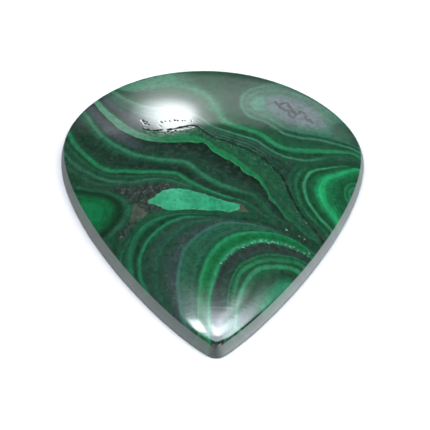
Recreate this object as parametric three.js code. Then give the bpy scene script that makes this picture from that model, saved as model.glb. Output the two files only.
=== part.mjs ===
// A loose malachite cabochon: one stone cut to a wide pear outline, with a low dome on top,
// a slightly leaning wall round it, a broken bottom edge and a flat back.
// Millimetres. +Z is up, +Y runs from the pointed tip to the round crown, and the origin is
// the middle of the outline on the flat back.
import * as THREE from "three";
import { mergeVertices } from "three/addons/utils/BufferGeometryUtils.js";

// The finished size of the stone.
const WIDTH = 35;
const THICKNESS = 6;

// The outline in plan, before it is centred: where the tip's two flanks would meet, the two
// shoulders at the widest place, and the crown.
const TIP = new THREE.Vector2(0.5, -21.2);
const SHOULDER_Y = { right: 7.6, left: 7.9 };
const CROWN = new THREE.Vector2(-0.6, 20.75);

// The flanks leave the tip at these angles above the width, and the tip itself is blunted.
const FLANK_ANGLE = { right: 40, left: 36 };
const TIP_BLUNT = 1.4;

// How far each curve runs straight out of its ends before it turns.
const TIP_REACH = { right: 7.4, left: 6.9 };
const FLANK_REACH = { right: 8.9, left: 9.3 };
const SHOULDER_REACH = { right: 5.3, left: 5.7 };
const CROWN_REACH = { right: 10.6, left: 10.5 };

// The wall between the back and the dome. The dome's edge is a plane that leans a little, so
// the wall is higher on the left, and it stands in from the outline at the top.
const WALL_HEIGHT = 2.1;
const WALL_LEAN = -0.022;
const WALL_INSET = 0.35;
const WALL_RINGS = 3;
const BACK_BEVEL = 0.22;

// The dome: the summit's place in plan, and how full it stays before it falls to the edge.
// The fullness grows towards the tip, and the inner contours are rounder than the outline.
const SUMMIT = new THREE.Vector2(0, 1.5);
const DOME_FULLNESS = 2.2;
const TIP_FULLNESS = 0.8;
const TIP_SPREAD = 0.55;
const CORE = { halfWidth: 16.2, halfLength: 18.6 };
const CORE_BLEND = 0.5;
const DOME_RINGS = 18;

// How many columns run round each stretch of the outline.
const FLANK_COLUMNS = 22;
const SHOULDER_COLUMNS = 20;
const TIP_COLUMNS = 6;

const MALACHITE_GREEN = 0x14573a;

// A unit vector at an angle above the width, on the right side or mirrored to the left.
function flankDirection(degrees, side) {
  const angle = THREE.MathUtils.degToRad(degrees);
  return new THREE.Vector2(side * Math.cos(angle), Math.sin(angle));
}

// The plan outline as a closed path of five curves, counter-clockwise from the right flank.
function pearShape() {
  const rightWay = flankDirection(FLANK_ANGLE.right, 1);
  const leftWay = flankDirection(FLANK_ANGLE.left, -1);
  const rightFoot = TIP.clone().addScaledVector(rightWay, TIP_BLUNT);
  const leftFoot = TIP.clone().addScaledVector(leftWay, TIP_BLUNT);
  const rightTurn = rightFoot.clone().addScaledVector(rightWay, TIP_REACH.right);
  const leftTurn = leftFoot.clone().addScaledVector(leftWay, TIP_REACH.left);
  const half = WIDTH / 2;
  const { right, left } = SHOULDER_Y;

  const shape = new THREE.Shape();
  shape.moveTo(rightFoot.x, rightFoot.y);
  shape.bezierCurveTo(rightTurn.x, rightTurn.y, half, right - FLANK_REACH.right, half, right);
  shape.bezierCurveTo(
    half, right + SHOULDER_REACH.right, CROWN.x + CROWN_REACH.right, CROWN.y, CROWN.x, CROWN.y);
  shape.bezierCurveTo(
    CROWN.x - CROWN_REACH.left, CROWN.y, -half, left + SHOULDER_REACH.left, -half, left);
  shape.bezierCurveTo(
    -half, left - FLANK_REACH.left, leftTurn.x, leftTurn.y, leftFoot.x, leftFoot.y);
  shape.quadraticCurveTo(TIP.x, TIP.y, rightFoot.x, rightFoot.y);
  return shape;
}

// The outline as points, one for each column, moved so that its own box is centred.
function outlinePoints() {
  const columns = [
    FLANK_COLUMNS, SHOULDER_COLUMNS, SHOULDER_COLUMNS, FLANK_COLUMNS, TIP_COLUMNS];
  const points = pearShape().curves.flatMap((curve, i) =>
    curve.getSpacedPoints(columns[i]).slice(0, -1));
  const centre = new THREE.Box2().setFromPoints(points).getCenter(new THREE.Vector2());
  return points.map((point) => point.sub(centre));
}

// The outline moved inwards by a distance, square to itself at each point.
function insetOutline(outline, distance) {
  const count = outline.length;
  return outline.map((point, i) => {
    const next = outline[(i + 1) % count];
    const last = outline[(i + count - 1) % count];
    const along = next.clone().sub(last).normalize();
    return new THREE.Vector2(point.x - along.y * distance, point.y + along.x * distance);
  });
}

// The height of the dome's edge above the back at a place in plan.
function wallHeight(point) {
  return WALL_HEIGHT + WALL_LEAN * point.x;
}

// A point of the dome: reach is 0 at the summit and 1 at the edge, on the way to an edge point.
function domePoint(edge, reach) {
  const way = edge.clone().sub(SUMMIT);
  const edgeDistance = way.length();
  way.normalize();
  const coreDistance = 1 / Math.hypot(way.x / CORE.halfWidth, way.y / CORE.halfLength);
  const blend = THREE.MathUtils.smoothstep(1 - reach, 0, CORE_BLEND);
  const distance = reach * THREE.MathUtils.lerp(edgeDistance, coreDistance, blend);
  const offTip = way.angleTo(new THREE.Vector2(0, -1));
  const fullness = DOME_FULLNESS + TIP_FULLNESS * Math.exp(-((offTip / TIP_SPREAD) ** 2));
  const rise = (THICKNESS - wallHeight(edge)) * (1 - reach ** fullness);
  return new THREE.Vector3(
    SUMMIT.x + way.x * distance, SUMMIT.y + way.y * distance, wallHeight(edge) + rise);
}

// The stone is turned as a round button of unit radius, and each of its rings is then moved
// out to the pear outline. Its profile runs from the middle of the back to the summit.
function cabochonGeometry() {
  const outline = outlinePoints();
  const back = insetOutline(outline, BACK_BEVEL);
  const summit = new THREE.Vector3(SUMMIT.x, SUMMIT.y, THICKNESS);
  const onOutline = (ring, height) => (i) => new THREE.Vector3(ring[i].x, ring[i].y, height(i));

  const rings = [
    () => new THREE.Vector3(SUMMIT.x, SUMMIT.y, 0),
    (i) => new THREE.Vector3(back[i].x, back[i].y, 0).lerp(new THREE.Vector3(...SUMMIT, 0), 0.5),
    onOutline(back, () => 0),
  ];
  for (let k = 0; k <= WALL_RINGS; k++) {
    const up = k / WALL_RINGS;
    const ring = insetOutline(outline, WALL_INSET * up * up);
    const height = (i) => THREE.MathUtils.lerp(BACK_BEVEL, wallHeight(ring[i]), up);
    rings.push(onOutline(ring, height));
  }
  const edge = insetOutline(outline, WALL_INSET);
  for (let k = 1; k < DOME_RINGS; k++) {
    const reach = Math.cos((k / DOME_RINGS) * (Math.PI / 2));
    rings.push((i) => domePoint(edge[i], reach));
  }
  rings.push(() => summit);

  const profile = rings.map((_, row) => {
    const up = row / (rings.length - 1);
    return new THREE.Vector2(Math.sin(up * Math.PI), up);
  });
  const button = new THREE.LatheGeometry(profile, outline.length);
  const position = button.getAttribute("position");
  for (let vertex = 0; vertex < position.count; vertex++) {
    const column = Math.floor(vertex / rings.length) % outline.length;
    const { x, y, z } = rings[vertex % rings.length](column);
    position.setXYZ(vertex, x, y, z);
  }
  button.deleteAttribute("normal");
  button.deleteAttribute("uv");
  const closed = mergeVertices(button);
  closed.computeVertexNormals();
  return closed;
}

const stone = new THREE.Mesh(
  cabochonGeometry(),
  new THREE.MeshStandardMaterial({ color: MALACHITE_GREEN, roughness: 0.15, metalness: 0 }),
);
stone.name = "cabochon";

const gemstone = new THREE.Group();
gemstone.add(stone);

export default gemstone;
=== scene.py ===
# %% [markdown]
# This notebook dresses a polished malachite cabochon: a wide pear with a low dome, a narrow
# wall and a ground back. The CAD model already holds its size and its form. What is missing
# is everything that makes it malachite: the bands, the pale lens of another copper mineral,
# the dark matrix, the crust of tiny crystals along the seam, and the deep polish.
#
# The CAD model is loaded first, as a fixed frame that nothing here moves.

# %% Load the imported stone
import math
import random

import bmesh
import bpy
import numpy as np
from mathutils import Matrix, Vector
from mathutils.bvhtree import BVHTree
from mathutils.geometry import interpolate_bezier


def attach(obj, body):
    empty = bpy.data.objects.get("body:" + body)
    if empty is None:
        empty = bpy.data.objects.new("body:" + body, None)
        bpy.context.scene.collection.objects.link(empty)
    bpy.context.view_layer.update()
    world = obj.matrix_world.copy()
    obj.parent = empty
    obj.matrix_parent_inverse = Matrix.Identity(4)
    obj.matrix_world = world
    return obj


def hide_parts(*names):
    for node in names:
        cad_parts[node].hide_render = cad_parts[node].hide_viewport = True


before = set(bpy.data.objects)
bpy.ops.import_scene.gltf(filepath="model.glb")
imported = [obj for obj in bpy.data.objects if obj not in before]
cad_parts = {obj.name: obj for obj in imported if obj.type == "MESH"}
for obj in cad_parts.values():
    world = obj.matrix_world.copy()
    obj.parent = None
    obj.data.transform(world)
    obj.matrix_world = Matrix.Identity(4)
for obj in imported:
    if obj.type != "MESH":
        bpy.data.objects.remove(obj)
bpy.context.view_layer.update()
MM = 0.001

# %% [markdown]
# The camera comes before the stone here, because the pattern is drawn through it: a band is
# given by where it shows in the photograph, and the camera says which spot of the dome that
# is. The photograph looks down at 50 degrees from beyond the tip, with a long lens.

# %% Camera
PHOTO_SIDE = 430
VIEW_ELEVATION = math.radians(50)
VIEW_DISTANCE = 400 * MM
AIM = Vector((0.29 * MM, 0, 0))
FOCAL_PIXELS = 3496
SENSOR_WIDTH = 36

camera = bpy.data.objects.new("camera", bpy.data.cameras.new("camera"))
bpy.context.scene.collection.objects.link(camera)
camera.data.sensor_width = SENSOR_WIDTH
camera.data.lens = FOCAL_PIXELS * SENSOR_WIDTH / PHOTO_SIDE
camera.data.clip_start = 10 * MM
camera.location = AIM + VIEW_DISTANCE * Vector(
    (0, -math.cos(VIEW_ELEVATION), math.sin(VIEW_ELEVATION)))
camera.rotation_euler = (math.pi / 2 - VIEW_ELEVATION, 0, 0)
bpy.context.scene.camera = camera
bpy.context.view_layer.update()
print("lens", round(camera.data.lens, 1), "mm")

# %% [markdown]
# A plain white table, brighter than the picture can show, as in the photograph. It lies a
# hair below the stone's back so that the two don't fight for the same height. It ends where
# the lamp still burns it out, so its edge never shows. The stone's polish doesn't mirror it,
# because the room below paints what the table throws back.

# %% Floor
FLOOR_RADIUS = 0.7
FLOOR_DROP = 0.02 * MM
FLOOR_ALBEDO = (0.61, 0.595, 0.60, 1)

floor_form = bmesh.new()
bmesh.ops.create_circle(floor_form, cap_ends=True, radius=FLOOR_RADIUS, segments=64)
bmesh.ops.translate(floor_form, verts=floor_form.verts, vec=(0, 0, -FLOOR_DROP))
floor_mesh = bpy.data.meshes.new("floor")
floor_form.to_mesh(floor_mesh)
floor_form.free()
floor = bpy.data.objects.new("floor", floor_mesh)
floor.visible_glossy = False
bpy.context.scene.collection.objects.link(floor)

floor_finish = bpy.data.materials.new("floor")
floor_finish.use_nodes = True
floor_shader = floor_finish.node_tree.nodes["Principled BSDF"]
floor_shader.inputs["Base Color"].default_value = FLOOR_ALBEDO
floor_shader.inputs["Roughness"].default_value = 0.9
floor_shader.inputs["Specular IOR Level"].default_value = 0
floor_mesh.materials.append(floor_finish)

# %% [markdown]
# The room's light and the stone's finish are both written as formulas. A Wire is the output
# of a node, and arithmetic on it adds the Math nodes, so that a mask reads the way it would
# on paper. Everything that isn't arithmetic goes through add().

# %% A small language for shader nodes
class Wire:
    """An output of a node on a sheet."""

    def __init__(self, sheet, socket):
        self.sheet = sheet
        self.socket = socket

    def __add__(self, other):
        return self.sheet.maths("ADD", self, other)

    __radd__ = __add__

    def __sub__(self, other):
        return self.sheet.maths("SUBTRACT", self, other)

    def __rsub__(self, other):
        return self.sheet.maths("SUBTRACT", other, self)

    def __mul__(self, other):
        return self.sheet.maths("MULTIPLY", self, other)

    __rmul__ = __mul__

    def __truediv__(self, other):
        return self.sheet.maths("DIVIDE", self, other)

    def __pow__(self, other):
        return self.sheet.maths("POWER", self, other)

    def __abs__(self):
        return self.sheet.maths("ABSOLUTE", self)


class Sheet:
    """The nodes of one material or world under construction."""

    def __init__(self, owner):
        owner.use_nodes = True
        self.tree = owner.node_tree
        self.tree.nodes.clear()

    def add(self, kind, settings, values, output=0):
        """A node of any kind, its settings first, then the values or wires of its sockets."""
        node = self.tree.nodes.new("ShaderNode" + kind)
        for name, setting in settings.items():
            if name == "stops":
                self.set_stops(node.color_ramp, setting)
            else:
                setattr(node, name, setting)
        for socket, value in values.items():
            if isinstance(value, Wire):
                self.tree.links.new(value.socket, node.inputs[socket])
            else:
                node.inputs[socket].default_value = value
        return Wire(self, node.outputs[output]) if node.outputs else None

    @staticmethod
    def set_stops(ramp, stops):
        while len(ramp.elements) < len(stops):
            ramp.elements.new(1.0)
        for element, (place, colour) in zip(ramp.elements, stops):
            element.position = place
            element.color = colour

    def maths(self, operation, *terms):
        return self.add("Math", {"operation": operation}, dict(enumerate(terms)))

    def step(self, value, low, high):
        """0 at low and 1 at high, smooth between, whichever of the two is larger."""
        return self.add(
            "MapRange", {"interpolation_type": "SMOOTHSTEP"},
            {"Value": value, "From Min": low, "From Max": high})

    def mix(self, mask, first, second):
        """The first colour where the mask is 0 and the second where it is 1."""
        return self.add(
            "Mix", {"data_type": "RGBA", "clamp_factor": True},
            {0: mask, 6: first, 7: second}, 2)

    def scaled(self, colour, amount):
        return self.add(
            "VectorMath", {"operation": "SCALE"}, {0: colour, "Scale": amount}, "Vector")

    def dot(self, first, second):
        return self.add(
            "VectorMath", {"operation": "DOT_PRODUCT"}, {0: first, 1: second}, "Value")

    def axes(self, place):
        """The three coordinates of a place or a direction."""
        return [self.dot(place, axis) for axis in ((1, 0, 0), (0, 1, 0), (0, 0, 1))]

    def attribute(self, name):
        return self.add("Attribute", {"attribute_name": name}, {}, "Fac")

    def noise(self, place, scale, detail=2, roughness=0.5):
        return self.add(
            "TexNoise", {"noise_dimensions": "3D"},
            {"Vector": place, "Scale": scale, "Detail": detail, "Roughness": roughness}, "Fac")

    def noise_line(self, value, scale, detail):
        return self.add(
            "TexNoise", {"noise_dimensions": "1D"},
            {"W": value, "Scale": scale, "Detail": detail}, "Fac")


# %% [markdown]
# A polished dome is a mirror for the studio, so what stands round the stone matters as much
# as how bright it is. Lamps have hard edges, and the photograph's reflections fade softly.
# The room is therefore painted on the world: a dark grey surround with soft-edged cards of
# light in it. The wall beyond the crown hazes the far half and holds the lamp that burns the
# highlight, the ceiling's cards light the near half and the tip, and the bright table lights
# the stone's wall.

# %% Room
ROOM_GREY = 0.11
PAPER_WHITE = (1.3, 1.3, 1.3, 1)
LAMP_WHITE = (0.97, 1.0, 1.04, 1)
CEILING_BLUE = (0.90, 0.99, 1.10, 1)
WALL_TOP_SLANT = 0.2
WALL_TOP = (0.62, 0.56)

# Each card is its centre, its half size, the softness of its edge, its radiance, its tilt in
# degrees, and whether it is oval.
WALL_CARDS = [
    ((-0.155, 0.525), (0.074, 0.148), 0.5, 8.5, 18, True),
    ((-0.10, 0.49), (0.10, 0.21), 0.6, 1.6, 0, True),
    ((0.07, 0.46), (0.50, 0.25), 0.45, 0.53, 0, True),
    ((0.107, 0.261), (0.279, 0.206), 0.24, 0.55, 0, False),
    ((-0.094, 0.838), (0.36, 0.37), 0.13, 0.75, 0, True)]
CEILING_CARDS = [
    ((-0.80, -0.165), (0.147, 0.047), 0.4, 14, 10, False),
    ((0.28, -0.070), (0.60, 0.055), 0.4, 9, 0, False),
    ((0.05, 0.0), (0.42, 0.10), 0.7, 3.4, 0, True),
    ((0.45, 0.04), (0.35, 0.045), 0.5, 3.2, 0, True),
    ((1.10, -0.13), (0.24, 0.13), 0.7, 3.2, 0, True),
    ((0.117, -0.186), (0.97, 0.25), 0.35, 4, 0, True),
    ((1.22, -0.22), (0.34, 0.17), 0.8, 3.4, 12, True),
    ((-0.50, -0.123), (0.26, 0.055), 0.56, 3, 0, True)]


def card(sky, place, centre, half_size, edge, radiance, tilt, oval):
    """A soft-edged card of light on a plane.

    The place on the plane and the card's sizes are shares of how far off the plane is."""
    turn = math.radians(tilt)
    right, up = place[0] - centre[0], place[1] - centre[1]
    across = abs(right * math.cos(turn) + up * math.sin(turn)) / half_size[0]
    along = abs(up * math.cos(turn) - right * math.sin(turn)) / half_size[1]
    if oval:
        reach = (across * across + along * along) ** 0.5
        return sky.step(reach, 1 + edge, 1 - edge) * radiance
    return sky.step(across, 1 + edge, 1 - edge) * sky.step(along, 1 + edge, 1 - edge) * radiance


def all_cards(sky, place, cards):
    light = card(sky, place, *cards[0])
    for row in cards[1:]:
        light = light + card(sky, place, *row)
    return light


room = bpy.data.worlds.new("room")
sky = Sheet(room)
right, ahead, up = sky.axes(sky.add("TexCoord", {}, {}, "Generated"))
wall_place = (right / ahead, up / ahead)
wall_light = all_cards(sky, wall_place, WALL_CARDS)
wall_top = sky.step(wall_place[1] + wall_place[0] * WALL_TOP_SLANT, *WALL_TOP)
ceiling_light = all_cards(sky, (right / up, ahead / up), CEILING_CARDS)
near_side = 0.5 + sky.step(ahead, 0.45, 0) * 0.5
right_side = 1.1 + sky.step(right, -0.3, 0.6) * 1.4
middle_shade = 1 - sky.step(abs(right), 0.7, 0.3) * 0.5
table_light = near_side * right_side * middle_shade
lamps = (
    wall_light * wall_top * sky.step(ahead, 0.03, 0.08)
    + table_light * sky.step(up, 0, -0.15)
    + ROOM_GREY)
overhead = ceiling_light * sky.step(up, 0.08, 0.15)
seen = sky.add("LightPath", {}, {}, "Is Camera Ray")
lamp_side = sky.add("Background", {}, {"Color": LAMP_WHITE, "Strength": lamps})
top_side = sky.add("Background", {}, {"Color": CEILING_BLUE, "Strength": overhead})
reflected = sky.add("AddShader", {}, {0: lamp_side, 1: top_side})
paper = sky.add("Background", {}, {"Color": PAPER_WHITE, "Strength": 1})
room_shader = sky.add("MixShader", {}, {"Fac": seen, 1: reflected, 2: paper})
sky.add("OutputWorld", {}, {"Surface": room_shader})
bpy.context.scene.world = room
bpy.context.scene.view_settings.view_transform = "Standard"
print("room", len(WALL_CARDS) + len(CEILING_CARDS), "cards")

# %% [markdown]
# One large lamp overhead fills in what the cards don't give, so that the table burns out to
# white. It is kept out of the reflections.

# %% Fill lamp
FILL_HEIGHT = 1.0
FILL_SIDE = 1.4
FILL_RADIANCE = 1.6
fill = bpy.data.lights.new("fill", "AREA")
fill.shape = "SQUARE"
fill.size = FILL_SIDE
fill.energy = FILL_RADIANCE * math.pi * FILL_SIDE ** 2
fill_holder = bpy.data.objects.new("fill", fill)
fill_holder.location = (0, 0, FILL_HEIGHT)
fill_holder.visible_camera = False
fill_holder.visible_glossy = False
bpy.context.scene.collection.objects.link(fill_holder)

# %% [markdown]
# The outline is five curves, the same as the CAD model's: two flanks that run straight out
# of the tip, two shoulders and the blunted tip. Only the count of columns is finer.

# %% Outline of the pear
WIDTH = 35 * MM
THICKNESS = 6 * MM
TIP = Vector((0.5, -21.2)) * MM
SHOULDER_Y = {"right": 7.6 * MM, "left": 7.9 * MM}
CROWN = Vector((-0.6, 20.75)) * MM
FLANK_ANGLE = {"right": math.radians(40), "left": math.radians(36)}
TIP_BLUNT = 1.4 * MM
TIP_REACH = {"right": 7.4 * MM, "left": 6.9 * MM}
FLANK_REACH = {"right": 8.9 * MM, "left": 9.3 * MM}
SHOULDER_REACH = {"right": 5.3 * MM, "left": 5.7 * MM}
CROWN_REACH = {"right": 10.6 * MM, "left": 10.5 * MM}
FLANK_COLUMNS = 132
SHOULDER_COLUMNS = 120
TIP_COLUMNS = 30
CURVE_SAMPLES = 400


def even_points(curve, count):
    """Points at even distances along a curve of four control points, without its end."""
    fine = np.array([p[:2] for p in interpolate_bezier(*curve, CURVE_SAMPLES)])
    steps = np.hypot(*np.diff(fine, axis=0).T)
    along = np.concatenate([[0], np.cumsum(steps)])
    wanted = np.linspace(0, along[-1], count + 1)[:-1]
    return np.column_stack([np.interp(wanted, along, fine[:, axis]) for axis in (0, 1)])


def pear_outline():
    """The outline in plan, counter-clockwise from the right flank, centred on its own box."""
    half = WIDTH / 2
    right_way = Vector((math.cos(FLANK_ANGLE["right"]), math.sin(FLANK_ANGLE["right"])))
    left_way = Vector((-math.cos(FLANK_ANGLE["left"]), math.sin(FLANK_ANGLE["left"])))
    right_foot = TIP + right_way * TIP_BLUNT
    left_foot = TIP + left_way * TIP_BLUNT
    right_side = Vector((half, SHOULDER_Y["right"]))
    left_side = Vector((-half, SHOULDER_Y["left"]))
    up, along = Vector((0, 1)), Vector((1, 0))
    curves = [
        (right_foot, right_foot + right_way * TIP_REACH["right"],
         right_side - up * FLANK_REACH["right"], right_side),
        (right_side, right_side + up * SHOULDER_REACH["right"],
         CROWN + along * CROWN_REACH["right"], CROWN),
        (CROWN, CROWN - along * CROWN_REACH["left"],
         left_side + up * SHOULDER_REACH["left"], left_side),
        (left_side, left_side - up * FLANK_REACH["left"],
         left_foot + left_way * TIP_REACH["left"], left_foot),
        (left_foot, left_foot.lerp(TIP, 2 / 3), right_foot.lerp(TIP, 2 / 3), right_foot),
    ]
    columns = [FLANK_COLUMNS, SHOULDER_COLUMNS, SHOULDER_COLUMNS, FLANK_COLUMNS, TIP_COLUMNS]
    points = np.concatenate([
        even_points([p.to_3d() for p in curve], count) for curve, count in zip(curves, columns)])
    return points - (points.min(axis=0) + points.max(axis=0)) / 2


outline = pear_outline()
print("outline", len(outline), "columns,", np.round(np.ptp(outline, axis=0) / MM, 2), "mm")

# %% [markdown]
# A cabochon is ground by eye against a flat wheel and then domed, so every ring of it is a
# smaller, softer copy of the outline. The rings below are named by what they are on the
# stone: the back, the broken edge, the wall, the rounded rim, and the dome up to its summit.

# %% Rings of the stone
WALL_HEIGHT = 2.1 * MM
WALL_LEAN = -0.022
WALL_INSET = 0.35 * MM
BACK_BEVEL = 0.22 * MM
RIM_ROUNDING = 0.16 * MM
EDGE_SHARPNESS = 0.95
RIDGE_START = 0.88
GRIND_SPREAD = math.radians(5)
GRIND_REACH = 0.25
EVEN_WAYS = 1440
SUMMIT = np.array([0, 1.5 * MM])
DOME_FULLNESS = 2.2
TIP_FULLNESS = 1.0
TIP_SPREAD = 0.55
TIP_CHIP = {"depth": 0.5 * MM, "reach": 0.8 * MM, "start": 0.9925}
CORE_HALF = np.array([16.2, 18.6]) * MM
CORE_BLEND = 0.5
BACK_RINGS = 22
WALL_RINGS = 8
RIM_RINGS = 5
DOME_RINGS = 88


def inset(ring, distance):
    """The ring moved inwards, square to itself at each point."""
    along = np.roll(ring, -1, axis=0) - np.roll(ring, 1, axis=0)
    along /= np.hypot(along[:, 0], along[:, 1])[:, None]
    return ring + distance * np.column_stack([-along[:, 1], along[:, 0]])


def smooth(share):
    """0 to 1 as a share goes from 0 to 1, with a soft start and end."""
    share = min(max(share, 0), 1)
    return share * share * (3 - 2 * share)


def dome_edge(sharp):
    """The dome's edge in plan: the outline moved inwards, its tip blunt at 0 and sharp at 1."""
    edge = inset(outline, WALL_INSET)
    blunt = edge.copy()
    left, right = edge[-TIP_COLUMNS], edge[0]
    left_way, right_way = edge[-TIP_COLUMNS - 1] - left, edge[1] - right
    reach = np.linalg.solve(np.column_stack([right_way, -left_way]), left - right)[0]
    corner = right + right_way * reach
    curve = [left, left + (corner - left) * EDGE_SHARPNESS,
             right + (corner - right) * EDGE_SHARPNESS, right]
    edge[-TIP_COLUMNS:] = even_points([Vector(p).to_3d() for p in curve], TIP_COLUMNS)
    return blunt + (edge - blunt) * sharp


def wall_height(points):
    """The height of the dome's edge: a plane that leans a little to the right."""
    return WALL_HEIGHT + WALL_LEAN * points[..., 0]


def tip_chip(points):
    """How far the worn corner of the tip has dropped at each point of the dome's edge."""
    corner = outline[-TIP_COLUMNS // 2]
    gap = np.hypot(*(points - corner).T)
    return TIP_CHIP["depth"] * np.exp(-(gap / TIP_CHIP["reach"]) ** 2)


def at_height(ring, height):
    return np.column_stack([ring, np.broadcast_to(height, len(ring))])


def rounder(way, distance, spread):
    """Distances from the summit, averaged over the ways next to each one."""
    angle = np.arctan2(way[:, 1], way[:, 0])
    even = np.linspace(-math.pi, math.pi, EVEN_WAYS, endpoint=False)
    waves = np.fft.rfft(np.interp(even, angle, distance, period=2 * math.pi))
    waves *= np.exp(-(np.arange(len(waves)) * spread) ** 2 / 2)
    return np.interp(angle, even, np.fft.irfft(waves), period=2 * math.pi)


def dome_ring(reach):
    """The dome's ring at a reach of 0 at the summit to 1 at the edge."""
    edge = dome_edge(smooth((reach - RIDGE_START) / (1 - RIDGE_START)))
    way = edge - SUMMIT
    edge_distance = np.hypot(way[:, 0], way[:, 1])
    way /= edge_distance[:, None]
    edge_distance = rounder(way, edge_distance, GRIND_SPREAD * smooth((1 - reach) / GRIND_REACH))
    core_distance = 1 / np.hypot(way[:, 0] / CORE_HALF[0], way[:, 1] / CORE_HALF[1])
    inward = smooth((1 - reach) / CORE_BLEND)
    distance = reach * (edge_distance + (core_distance - edge_distance) * inward)
    off_tip = np.arccos(np.clip(-way[:, 1], -1, 1))
    fullness = DOME_FULLNESS + TIP_FULLNESS * np.exp(-(off_tip / TIP_SPREAD) ** 2)
    wall = wall_height(edge)
    rise = (THICKNESS - wall) * (1 - reach ** fullness)
    drop = tip_chip(edge) * smooth((reach - TIP_CHIP["start"]) / (1 - TIP_CHIP["start"]))
    return at_height(SUMMIT + way * distance[:, None], wall + rise - drop)


def wall_ring(up):
    """The wall's ring at a height of 0 at the broken edge to 1 at the dome's edge."""
    ring = outline + (dome_edge(1) - outline) * up * up
    top = wall_height(ring) - tip_chip(ring)
    return at_height(ring, BACK_BEVEL + (top - BACK_BEVEL) * up)


def stone_rings():
    """All the rings, from the middle of the back, up the wall and on to the summit."""
    back = inset(outline, BACK_BEVEL)
    rings = [at_height(SUMMIT + (back - SUMMIT) * k / BACK_RINGS, 0)
             for k in range(BACK_RINGS + 1)]
    wall_head = 1 - RIM_ROUNDING / WALL_HEIGHT
    dome_foot = 1 - RIM_ROUNDING / (WIDTH / 2)
    rings += [wall_ring(k / WALL_RINGS * wall_head) for k in range(WALL_RINGS)]
    low, corner, high = wall_ring(wall_head), dome_ring(1), dome_ring(dome_foot)
    for k in range(RIM_RINGS + 1):
        t = k / RIM_RINGS
        rings.append((1 - t) ** 2 * low + 2 * t * (1 - t) * corner + t * t * high)
    rings += [dome_ring(dome_foot * (1 - k / DOME_RINGS)) for k in range(1, DOME_RINGS + 1)]
    return np.array(rings)


rings = stone_rings()
print("rings", len(rings))

# %% [markdown]
# The mesh starts as a round button: half a profile, spun once round the middle. Each vertex
# then knows its ring by its height on the button and its column by its angle, and is moved
# to its place on the pear. The spin gives clean quads and one vertex at each pole.

# %% Turn the button and draw it out to the pear
def round_button(ring_count, column_count):
    """A button of unit radius whose rings are evenly spaced in height."""
    form = bmesh.new()
    profile = []
    for row in range(ring_count):
        up = row / (ring_count - 1)
        profile.append(form.verts.new((math.sin(up * math.pi), 0, up)))
    edges = [form.edges.new(pair) for pair in zip(profile, profile[1:])]
    bmesh.ops.spin(
        form, geom=profile + edges, cent=(0, 0, 0), axis=(0, 0, 1), angle=2 * math.pi,
        steps=column_count, use_merge=True)
    bmesh.ops.remove_doubles(form, verts=form.verts, dist=1e-6)
    return form


def draw_out(form):
    """Moves the button's vertices to the stone's rings."""
    row_count, column_count = rings.shape[:2]
    for vertex in form.verts:
        row = round(vertex.co.z * (row_count - 1))
        turn = math.atan2(vertex.co.y, vertex.co.x) / (2 * math.pi)
        vertex.co = rings[row, round(turn * column_count) % column_count]


stone_form = round_button(len(rings), len(outline))
draw_out(stone_form)
bmesh.ops.recalc_face_normals(stone_form, faces=stone_form.faces)
print("stone", len(stone_form.verts), "vertices,", len(stone_form.faces), "faces")

# %% [markdown]
# Malachite's bands are growth surfaces, so they are drawn the way a map shows a hill: a few
# contour lines, each with the number of its layer, and every spot between two lines takes a
# number between theirs. The lines are read off the photograph, in its pixels, and
# are cast onto the dome through the camera. Painting the bands would fix their sharpness.
# Layer numbers keep them crisp at any distance, and let one material colour them all.

# %% Cast the photograph's places onto the dome
CAST_ROUNDS = 8
CURVE_STEPS = 10
surface = BVHTree.FromBMesh(stone_form)


def stone_height(x, y):
    """The height of the stone above a place in plan, or of the dome's edge beside it."""
    hit = surface.ray_cast(Vector((x, y, 2 * THICKNESS)), Vector((0, 0, -1)))[0]
    return max(hit.z, WALL_HEIGHT) if hit else WALL_HEIGHT


def on_stone(pixel):
    """The place in plan that a pixel of the photograph shows."""
    half = PHOTO_SIDE / 2
    ray = camera.matrix_world.to_3x3() @ Vector(
        ((pixel[0] - half) / FOCAL_PIXELS, (half - pixel[1]) / FOCAL_PIXELS, -1))
    height = WALL_HEIGHT
    for _ in range(CAST_ROUNDS):
        place = camera.location + ray * ((height - camera.location.z) / ray.z)
        height = stone_height(place.x, place.y)
    return place.x, place.y


def through(points, closed=False):
    """A smooth curve through given places, as a dense line."""
    points = np.array(points, float)
    if closed:
        padded = np.concatenate([points[-1:], points, points[:2]])
    else:
        padded = np.concatenate(
            [2 * points[:1] - points[1:2], points, 2 * points[-1:] - points[-2:-1]])
    t = np.linspace(0, 1, CURVE_STEPS, endpoint=False)[:, None]
    spans = []
    for a, b, c, d in zip(padded, padded[1:], padded[2:], padded[3:]):
        spans.append(0.5 * (2 * b + (c - a) * t + (2 * a - 5 * b + 4 * c - d) * t ** 2
                            + (3 * b - a - 3 * c + d) * t ** 3))
    return np.concatenate(spans + [padded[-2:-1]])


def drawn(pixels, closed=False):
    return through([on_stone(pixel) for pixel in pixels], closed)


# %% [markdown]
# The seam crosses the whole stone from the upper left rim to the right flank. Below it lies
# the bright band, then three pale lines that sweep down to the right, and then the lens.

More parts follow.
